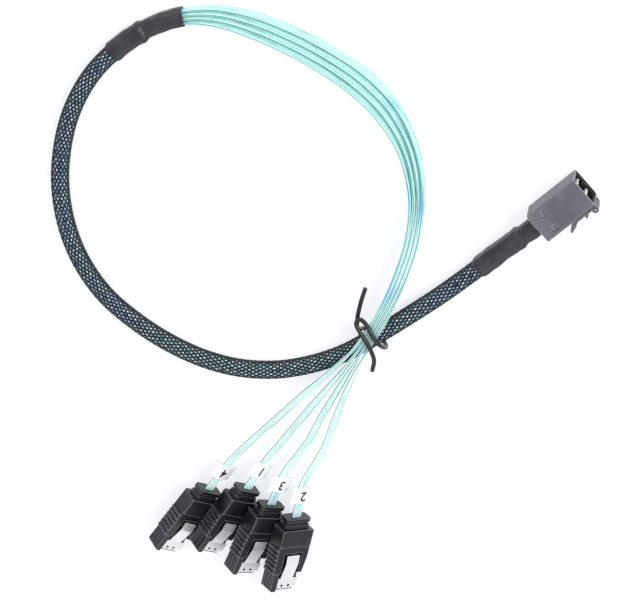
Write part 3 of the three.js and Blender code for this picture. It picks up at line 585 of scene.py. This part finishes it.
# %% Helpers for materials
def colour(text):
    """A hex colour as linear red, green, blue and alpha."""
    channels = [int(text[k:k + 2], 16) / 255 for k in (1, 3, 5)]
    linear = [c / 12.92 if c <= 0.04045 else ((c + 0.055) / 1.055) ** 2.4 for c in channels]
    return (*linear, 1.0)


def add(material, kind, settings=None, **inputs):
    """Adds a node. An input is a value, or the output socket that feeds it."""
    new = material.node_tree.nodes.new(kind)
    for key, value in (settings or {}).items():
        setattr(new, key, value)
    for key, value in inputs.items():
        place = int(key[1:]) if key[1:].isdigit() else key.replace("_", " ")
        socket = new.inputs[place]
        if isinstance(value, bpy.types.NodeSocket):
            material.node_tree.links.new(value, socket)
        else:
            socket.default_value = value
    return new


def blank_material(name):
    """A material with its default shader removed, and only the output left."""
    material = bpy.data.materials.new(name)
    material.use_nodes = True
    material.node_tree.nodes.clear()
    return material


def finish_material(material, shader):
    """Joins a shader to the output."""
    end = add(material, "ShaderNodeOutputMaterial")
    material.node_tree.links.new(shader.outputs[0], end.inputs["Surface"])
    return material


def ramp(material, factor, stops):
    """A colour ramp from (position, hex colour) pairs."""
    new = add(material, "ShaderNodeValToRGB", Fac=factor)
    elements = new.color_ramp.elements
    while len(elements) < len(stops):
        elements.new(0.5)
    for element, (position, text) in zip(elements, stops):
        element.position = position
        element.color = colour(text)
    return new


# %% [markdown]
# ## Moulded plastics
# Both kinds of plug are moulded in polyester (PBT). The tool is spark eroded,
# which leaves a fine even grain, so the plastic has a soft sheen and no
# mirror. Handling polishes it in patches. The edges get a painted highlight,
# found where a rounded normal turns away from the flat one, and the depths a
# painted shade, where near walls hide the sky.

# %% Moulded PBT and its relatives
GRAIN_MM = 0.18
EDGE_HIGHLIGHT_MM = 0.3
RECESS_SHADE_REACH_MM = 14


def with_worn_edges(material, tint, edge):
    """Mixes in a painted edge highlight where a rounded normal leaves the flat one."""
    rounded = add(material, "ShaderNodeBevel", {"samples": 6}, Radius=EDGE_HIGHLIGHT_MM * MM)
    flat = add(material, "ShaderNodeNewGeometry")
    match = add(
        material, "ShaderNodeVectorMath", {"operation": "DOT_PRODUCT"},
        _0=rounded.outputs["Normal"], _1=flat.outputs["Normal"],
    )
    share = add(
        material, "ShaderNodeMapRange",
        Value=match.outputs["Value"], From_Min=0.99, From_Max=0.85, To_Min=0.0, To_Max=1.0,
    )
    return add(
        material, "ShaderNodeMix", {"data_type": "RGBA"},
        _0=share.outputs["Result"], _6=tint, _7=colour(edge),
    ).outputs[2]


def with_dark_depths(material, tint, recess_shade):
    """Mixes in painted shade where walls close by keep the light out."""
    open_sky = add(
        material, "ShaderNodeAmbientOcclusion", {"samples": 8, "only_local": True},
        Distance=RECESS_SHADE_REACH_MM * MM,
    )
    share = add(
        material, "ShaderNodeMapRange",
        Value=open_sky.outputs["AO"], From_Min=0.82, From_Max=0.5,
    )
    return add(
        material, "ShaderNodeMix", {"data_type": "RGBA"},
        _0=share.outputs["Result"], _6=tint, _7=colour(recess_shade),
    ).outputs[2]


def moulded_plastic(name, dark, light, roughness, grain=0.25, edge=None, recess_shade=None):
    """Grained plastic. The grain is drawn at 0.18 mm, coarser than the real 0.03."""
    material = blank_material(name)
    place = add(material, "ShaderNodeTexCoord").outputs["Object"]
    patches = add(material, "ShaderNodeTexNoise", Vector=place, Scale=1 / (9 * MM), Detail=3.0)
    tint = ramp(material, patches.outputs["Fac"], [(0.35, dark), (0.68, light)]).outputs["Color"]
    # At the edges the colour is a painted highlight, and in the recesses a painted shade.
    if edge:
        tint = with_worn_edges(material, tint, edge)
    if recess_shade:
        tint = with_dark_depths(material, tint, recess_shade)
    fine = add(material, "ShaderNodeTexNoise", Vector=place, Scale=1 / (GRAIN_MM * MM), Detail=2.0)
    bump = add(
        material, "ShaderNodeBump",
        Height=fine.outputs["Fac"], Strength=grain, Distance=0.02 * MM,
    )
    rough = add(
        material, "ShaderNodeMapRange",
        Value=patches.outputs["Fac"], From_Min=0.3, From_Max=0.7,
        To_Min=roughness - 0.06, To_Max=roughness + 0.06,
    )
    shader = add(
        material, "ShaderNodeBsdfPrincipled",
        Base_Color=tint, Roughness=rough.outputs["Result"],
        Normal=bump.outputs["Normal"], IOR=1.55,
    )
    return finish_material(material, shader)


# The edge colours below are painted highlights, and the darkest colours of the shell and the hood
# are painted shade in their recesses.
MATERIALS = {
    "host_housing": moulded_plastic(
        "moulded_grey_PBT", "#54545f", "#62626f", 0.42, edge="#c8c8d2", recess_shade="#09090b",
    ),
    "carrier_plastic": moulded_plastic("moulded_black_PBT_carrier", "#08080a", "#0e0e10", 0.6),
    "lever_plastic": moulded_plastic(
        "moulded_grey_PBT_lever", "#50505b", "#5e5e6a", 0.4, edge="#b4b4be",
    ),
    "hood_plastic": moulded_plastic(
        "moulded_black_PBT_hood", "#0e0d13", "#1a1921", 0.3, edge="#a6a5b8", recess_shade="#060608",
    ),
    "nose_plastic": moulded_plastic(
        "moulded_black_PBT_nose", "#0e0d13", "#18171f", 0.3, edge="#8e8da2",
    ),
    "collar_plastic": moulded_plastic(
        "moulded_soft_PVC_collar", "#0e0e12", "#18181e", 0.34, edge="#64646f",
    ),
    "tie_plastic": moulded_plastic("coated_wire_PVC", "#0e0e11", "#18181c", 0.32),
    "shrink_tube": moulded_plastic("shrunk_polyolefin", "#1c1a21", "#302e38", 0.42, grain=0.5),
}
print("plastics", len(MATERIALS))

# %% [markdown]
# ## Steel, laminate, gold and label film
# The latches are cut and folded from bright stainless strip, the cards are
# glass laminate with gold-plated pads, and the labels are matt white film.

# %% Metals, laminate and film
def rolled_metal(name, text, roughness):
    """Bright strip. Rolling and tumbling leave soft patches in its gloss."""
    material = blank_material(name)
    place = add(material, "ShaderNodeTexCoord").outputs["Object"]
    patches = add(material, "ShaderNodeTexNoise", Vector=place, Scale=1 / (1.6 * MM), Detail=4.0)
    rough = add(
        material, "ShaderNodeMapRange",
        Value=patches.outputs["Fac"], To_Min=roughness - 0.1, To_Max=roughness + 0.12,
    )
    scratches = add(
        material, "ShaderNodeTexNoise", Vector=place, Scale=1 / (0.25 * MM), Detail=2.0,
    )
    bump = add(
        material, "ShaderNodeBump",
        Height=scratches.outputs["Fac"], Strength=0.15, Distance=0.01 * MM,
    )
    shader = add(
        material, "ShaderNodeBsdfPrincipled",
        Base_Color=colour(text), Metallic=1.0, Roughness=rough.outputs["Result"],
        Normal=bump.outputs["Normal"],
    )
    return finish_material(material, shader)


MATERIALS["latch_steel"] = rolled_metal("rolled_stainless_steel", "#fbfbfd", 0.5)
MATERIALS["pin_steel"] = rolled_metal("drawn_steel_wire", "#c4c4c8", 0.3)
MATERIALS["card_laminate"] = moulded_plastic("glass_laminate", "#f6f1da", "#fdfaec", 0.4)
MATERIALS["label_film"] = moulded_plastic(
    "matt_label_film", "#fafaf9", "#fdfdfc", 0.6, grain=0.1,
)
MATERIALS["pad_gold"] = rolled_metal("gold_plating", "#e8c468", 0.25)
MATERIALS["print_ink"] = moulded_plastic("thermal_print_ink", "#121214", "#1c1c1e", 0.6)
print("materials", len(MATERIALS))

# %% [markdown]
# ## The clear jackets
# Clear fluoroplastic over silvered wire looks pale mint where it faces us. In
# the grooves it is painted deep teal, a painted shade that stands for the eye
# looking along the tinted wall. Fine threads of shade run along it, the tint
# drifts from green to blue on its way, and past the tie the cables look paler.

# %% Tinted jacket
LINE_MM = 0.26
PALE_FROM = 0.44
PALE_TO = 0.48


def jacket(name, light_teal, light_blue, groove_shade_teal, groove_shade_blue, humps, across_mm):
    """humps is how many wires lie across, over a width of across_mm."""
    material = blank_material(name)
    place = add(material, "ShaderNodeTexCoord").outputs["UV"]
    parts = add(material, "ShaderNodeSeparateXYZ", Vector=place)
    turn = add(
        material, "ShaderNodeMath", {"operation": "MULTIPLY"},
        _0=parts.outputs["X"], _1=math.pi * humps,
    )
    wave = add(material, "ShaderNodeMath", {"operation": "SINE"}, _0=turn.outputs[0])
    crown = add(material, "ShaderNodeMath", {"operation": "ABSOLUTE"}, _0=wave.outputs[0])
    stretched = add(
        material, "ShaderNodeMapping",
        Vector=place, Scale=(across_mm / LINE_MM, 1 / (24 * MM), 1),
    )
    threads = add(material, "ShaderNodeTexNoise", Vector=stretched.outputs[0], Scale=1.0, Detail=3.0)
    lift = add(
        material, "ShaderNodeMath", {"operation": "MULTIPLY_ADD"},
        _0=threads.outputs["Fac"], _1=4.5, _2=-1.66,
    )
    height = add(
        material, "ShaderNodeMath", {"operation": "MINIMUM"},
        _0=crown.outputs[0], _1=lift.outputs[0],
    )
    where = add(material, "ShaderNodeTexCoord").outputs["Object"]
    drift = add(material, "ShaderNodeTexNoise", Vector=where, Scale=1 / (22 * MM), Detail=3.0)
    # The groove colours are painted shade in the grooves between the wires; the crowns keep the pale
    # jacket colour.
    teal = ramp(material, height.outputs[0], [(0.0, groove_shade_teal), (0.30, light_teal)])
    blue = ramp(material, height.outputs[0], [(0.0, groove_shade_blue), (0.34, light_blue)])
    share = ramp(material, drift.outputs["Fac"], [(0.57, "#000000"), (0.68, "#ffffff")])
    tint = add(
        material, "ShaderNodeMix", {"data_type": "RGBA"},
        _0=share.outputs["Color"], _6=teal.outputs["Color"], _7=blue.outputs["Color"],
    )
    paler = add(
        material, "ShaderNodeMapRange",
        Value=parts.outputs["Y"], From_Min=PALE_FROM, From_Max=PALE_TO, To_Max=0.5,
    )
    # In the paler part the grooves are painted darker too, a painted shade.
    white = ramp(material, height.outputs[0], [(0.0, "#7f9496"), (0.30, "#f4fffc")])
    tint = add(
        material, "ShaderNodeMix", {"data_type": "RGBA"},
        _0=paler.outputs["Result"], _6=tint.outputs[2], _7=white.outputs["Color"],
    )
    shader = add(
        material, "ShaderNodeBsdfPrincipled",
        Base_Color=tint.outputs[2], Roughness=0.2, IOR=1.36, Coat_Weight=0.5,
        Coat_Roughness=0.1,
    )
    return finish_material(material, shader)


def pressed_jackets():
    """The cables under the braid: pale glints where a jacket touches a gap."""
    material = blank_material("jackets_under_the_braid")
    where = add(material, "ShaderNodeTexCoord").outputs["Object"]
    glints = add(material, "ShaderNodeTexNoise", Vector=where, Scale=1 / (1.3 * MM), Detail=3.0)
    drift = add(material, "ShaderNodeTexNoise", Vector=where, Scale=1 / (30 * MM), Detail=2.0)
    sky = ramp(
        material, glints.outputs["Fac"],
        [(0.34, "#3f6c7c"), (0.48, "#a2d8e8"), (0.6, "#eefafe")],
    )
    violet = ramp(
        material, glints.outputs["Fac"],
        [(0.34, "#3d5890"), (0.48, "#94b8e8"), (0.6, "#e4eefe")],
    )
    share = ramp(material, drift.outputs["Fac"], [(0.42, "#000000"), (0.62, "#ffffff")])
    tint = add(
        material, "ShaderNodeMix", {"data_type": "RGBA"},
        _0=share.outputs["Color"], _6=sky.outputs["Color"], _7=violet.outputs["Color"],
    )
    shader = add(
        material, "ShaderNodeBsdfPrincipled",
        Base_Color=tint.outputs[2], Roughness=0.2, IOR=1.36,
    )
    return finish_material(material, shader)


# The last two colours are painted shade for the grooves.
clear_jacket = jacket(
    "clear_fluoroplastic_jacket", "#d2fffa", "#a6e6f6", "#3f979f", "#2b86c0", 4, 3.7,
)
pressed_jacket = pressed_jackets()
for piece in flat_cables.values():
    piece.data.materials.append(clear_jacket)
bundle.data.materials.append(pressed_jacket)
print("jackets", len(flat_cables) + 1)

# %% [markdown]
# ## The monofilament
# A strand is a few polyester filaments, drawn and nearly black. They are
# glossy, so each crown of the braid catches a thin light.

# %% Braid finish
FILAMENTS = 4


def filament():
    """Fine lines along the strand, one for each filament."""
    material = blank_material("braided_PET_monofilament")
    place = add(material, "ShaderNodeTexCoord").outputs["UV"]
    parts = add(material, "ShaderNodeSeparateXYZ", Vector=place)
    turn = add(
        material, "ShaderNodeMath", {"operation": "MULTIPLY"},
        _0=parts.outputs["X"], _1=math.pi * FILAMENTS,
    )
    wave = add(material, "ShaderNodeMath", {"operation": "SINE"}, _0=turn.outputs[0])
    crown = add(material, "ShaderNodeMath", {"operation": "ABSOLUTE"}, _0=wave.outputs[0])
    # The ramp paints each filament lighter on its crown, a faint painted sheen, and darker between
    # the filaments, a painted shade.
    tint = ramp(material, crown.outputs[0], [(0.1, "#08090c"), (0.8, "#181d26")])
    bump = add(
        material, "ShaderNodeBump",
        Height=crown.outputs[0], Strength=0.6, Distance=0.03 * MM,
    )
    shader = add(
        material, "ShaderNodeBsdfPrincipled",
        Base_Color=tint.outputs["Color"], Roughness=0.34, IOR=1.42,
        Normal=bump.outputs["Normal"],
    )
    return finish_material(material, shader)


braid.data.materials.append(filament())
twist_tie.data.materials.append(MATERIALS["tie_plastic"])
for piece in boots.values():
    piece.data.materials.append(MATERIALS["shrink_tube"])

# %% [markdown]
# ## Finishing the CAD solids
# The rigid solids have the right shape, so they stay. Each only gets the
# material that its slot in the record asks for.

# %% Dress the solids
NODE_SLOTS = {
    "host_plug_shell": "host_housing",
    "host_rear_cap": "host_housing",
    "host_card_carrier": "carrier_plastic",
    "contact_card_inner": "card_laminate",
    "contact_card_outer": "card_laminate",
    "host_lever": "lever_plastic",
    "host_lever_pin": "pin_steel",
    "drive_hood": "hood_plastic",
    "drive_nose": "nose_plastic",
    "drive_latch": "latch_steel",
    "drive_collar": "collar_plastic",
    "label": "label_film",
}
for name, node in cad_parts.items():
    kind = name.rstrip("1234").rstrip("_")
    if kind in NODE_SLOTS:
        node.data.materials.clear()
        node.data.materials.append(MATERIALS[NODE_SLOTS[kind]])
print("solids dressed", len(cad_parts))

# %% [markdown]
# ## Gold contacts
# The cards in the host plug end in rows of gold-plated pads, and each drive
# plug has seven sprung contacts in its slot. Each is a thin plate that stands
# a little proud. One plate is a cube set to its size, and the plates of a row
# are then joined.

# %% Plate the contacts
PAD_PITCH = 0.8
PADS_ON_A_FACE = 9
CONTACT_PITCH = 1.15
CONTACTS = 7
CARD_HALF = 0.5
PAD_REAR = -6.5
PAD_FRONT = -1.6
PAD_HALF = 0.25
PROUD = 0.03
SUNK = 0.1
CONTACT_REAR = 18.9
CONTACT_FRONT = 22.9
CONTACT_HALF = 0.25
CONTACT_EDGE = -0.65 - 4.45
CONTACT_Z = (0.7, 0.78)


def plates(name, boxes, place):
    """Joins plates that are given by two corners each, in millimetres."""
    made = []
    for low, high in boxes:
        bpy.ops.object.select_all(action="DESELECT")
        bpy.ops.mesh.primitive_cube_add(size=1)
        cube = bpy.context.object
        size = Vector(high) - Vector(low)
        middle = (Vector(high) + Vector(low)) / 2
        cube.data.transform(place @ Matrix.Translation(middle) @ Matrix.Diagonal((*size, 1)))
        made.append(cube)
    for cube in made:
        cube.select_set(True)
    bpy.context.view_layer.objects.active = made[0]
    bpy.ops.object.join()
    made[0].name = name
    made[0].data.materials.append(MATERIALS["pad_gold"])
    return made[0]


host_place = Matrix.Translation(layout(HOST_MOUTH, HOST_MIDDLE, HOST_HEIGHT)) @ Matrix.Scale(MM, 4)
card_pads = []
for name, side in (("inner", -1), ("outer", 1)):
    boxes = []
    for k in range(PADS_ON_A_FACE):
        z = (k - (PADS_ON_A_FACE - 1) / 2) * PAD_PITCH
        y = CARD_SHIFT + side * CARD_PITCH / 2
        for y0, y1 in (
            (y - CARD_HALF - PROUD, y - CARD_HALF + SUNK),
            (y + CARD_HALF - SUNK, y + CARD_HALF + PROUD),
        ):
            boxes.append(((PAD_REAR, y0, z - PAD_HALF), (PAD_FRONT, y1, z + PAD_HALF)))
    card_pads.append(plates(f"card_pads_{name}", boxes, host_place))
plug_contacts = {}
for number in DRIVE_PLUGS:
    boxes = []
    for k in range(CONTACTS):
        y = CONTACT_EDGE + CONTACT_PITCH * (k + 0.5)
        boxes.append((
            (CONTACT_REAR, y - CONTACT_HALF, CONTACT_Z[0]),
            (CONTACT_FRONT, y + CONTACT_HALF, CONTACT_Z[1]),
        ))
    plug_contacts[number] = plates(f"plug_contacts_{number}", boxes, plug_frame(number))
for piece in card_pads + list(plug_contacts.values()):
    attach(piece, "cable")
print("contact rows", len(card_pads) + len(plug_contacts))

# %% [markdown]
# ## The label films
# A label is one strip of film, folded over the flat cable and stuck to itself
# at both edges. Its section is a loop round the cable with a flat tab at each
# side.

# %% Fold the films
FILM_SECTION = [
    (4.35, 0.0), (4.35, 0.28), (3.0, 0.34), (2.4, 0.78), (1.8, 1.05), (0, 1.08),
    (-1.8, 1.05), (-2.4, 0.78), (-3.0, 0.34), (-4.35, 0.28), (-4.35, 0.0),
]
FILM_FROM = -15.1
FILM_TO = -9.5
FILM_STEPS = 4

films = {}
for number in DRIVE_PLUGS:
    loop = FILM_SECTION + [(y, -z) for y, z in FILM_SECTION[-2:0:-1]]
    rings = []
    runs = []
    for k in range(FILM_STEPS + 1):
        x = FILM_FROM + (FILM_TO - FILM_FROM) * k / FILM_STEPS
        rings.append([plug_frame(number) @ Vector((x, y, z)) for y, z in loop])
        runs.append(k / FILM_STEPS)
    skin = Skin()
    skin.tube(rings, [k / len(loop) for k in range(len(loop) + 1)], runs)
    films[number] = skin.build(f"folded_label_film_{number}", 40)
    films[number].data.materials.append(MATERIALS["label_film"])
    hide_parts(f"label_{number}")
    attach(films[number], "cable")
print("films", sorted(films))

# %% [markdown]
# ## Numbers on the labels
# Each label carries the number of its port. A text object is set flat on the
# label, made a mesh, and its place is then applied, so that it sits in the
# frame as every other piece does.

# %% Print the numbers
NUMBER_HEIGHT = 5.0
STROKE = 0.10
LABEL_MIDDLE = -12.3
LABEL_TOP = 1.10

for number in DRIVE_PLUGS:
    bpy.ops.object.select_all(action="DESELECT")
    bpy.ops.object.text_add()
    piece = bpy.context.object
    piece.name = f"label_number_{number}"
    piece.data.body = str(number)
    piece.data.align_x = "CENTER"
    piece.data.align_y = "CENTER"
    piece.data.size = NUMBER_HEIGHT
    piece.data.resolution_u = 6
    piece.data.offset = STROKE
    bpy.ops.object.convert(target="MESH")
    turn = Matrix(((0, 1, 0, LABEL_MIDDLE), (-1, 0, 0, 0), (0, 0, 1, LABEL_TOP), (0, 0, 0, 1)))
    piece.data.transform(plug_frame(number) @ turn)
    piece.data.materials.append(MATERIALS["print_ink"])
    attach(piece, "cable")

# %% [markdown]
# ## Where the cords end
# The flat cables leave the host plug together, and each ends in its drive plug.

# %% [markdown]
# ## Floor and light
# The cable lies on a white sweep. What the camera and shiny parts see of the
# floor is mostly its own white, and the rest is lit, so the soft shadow stays.

# %% Stage and lamps
SWEEP_LIT = (0.40, 0.40, 0.36, 1)
SWEEP_GLOW = (0.68, 0.68, 0.74, 1)

bpy.ops.mesh.primitive_plane_add(size=6, location=(0, 0, -0.0001))
floor = bpy.context.object
floor.name = "floor"
sweep = blank_material("white_sweep")
rays = add(sweep, "ShaderNodeLightPath")
plain = add(sweep, "ShaderNodeBsdfDiffuse", Color=colour("#e8e8e8"))
lit = add(sweep, "ShaderNodeBsdfDiffuse", Color=SWEEP_LIT)
glow = add(sweep, "ShaderNodeEmission", Color=SWEEP_GLOW, Strength=1.0)
shown = add(sweep, "ShaderNodeAddShader", _0=lit.outputs[0], _1=glow.outputs[0])
seen = add(
    sweep, "ShaderNodeMath", {"operation": "MAXIMUM"},
    _0=rays.outputs["Is Camera Ray"], _1=rays.outputs["Is Glossy Ray"],
)
seen_all = add(
    sweep, "ShaderNodeMath", {"operation": "MAXIMUM"},
    _0=seen.outputs[0], _1=rays.outputs["Is Transmission Ray"],
)
choice = add(
    sweep, "ShaderNodeMixShader",
    _0=seen_all.outputs[0], _1=plain.outputs[0], _2=shown.outputs[0],
)
finish_material(sweep, choice)
floor.data.materials.append(sweep)

world = bpy.data.worlds.new("studio")
bpy.context.scene.world = world
world.use_nodes = True
world.node_tree.nodes["Background"].inputs["Color"].default_value = (1, 1, 1, 1)
world.node_tree.nodes["Background"].inputs["Strength"].default_value = 0.62

LAMPS = {
    "key": {"place": (1.0, -0.3, 1.2), "size": 0.6, "power": 11},
    "back": {"place": (0.2, 1.1, 1.2), "size": 0.8, "power": 6},
    "fill": {"place": (-0.6, -0.9, 1.2), "size": 1.0, "power": 4},
}
for name, lamp in LAMPS.items():
    data = bpy.data.lights.new(name, "AREA")
    data.size = lamp["size"]
    data.energy = lamp["power"]
    light = bpy.data.objects.new(name, data)
    light.location = lamp["place"]
    light.rotation_euler = (-Vector(lamp["place"])).to_track_quat("-Z", "Y").to_euler()
    bpy.context.scene.collection.objects.link(light)
print("lamps", sorted(LAMPS))
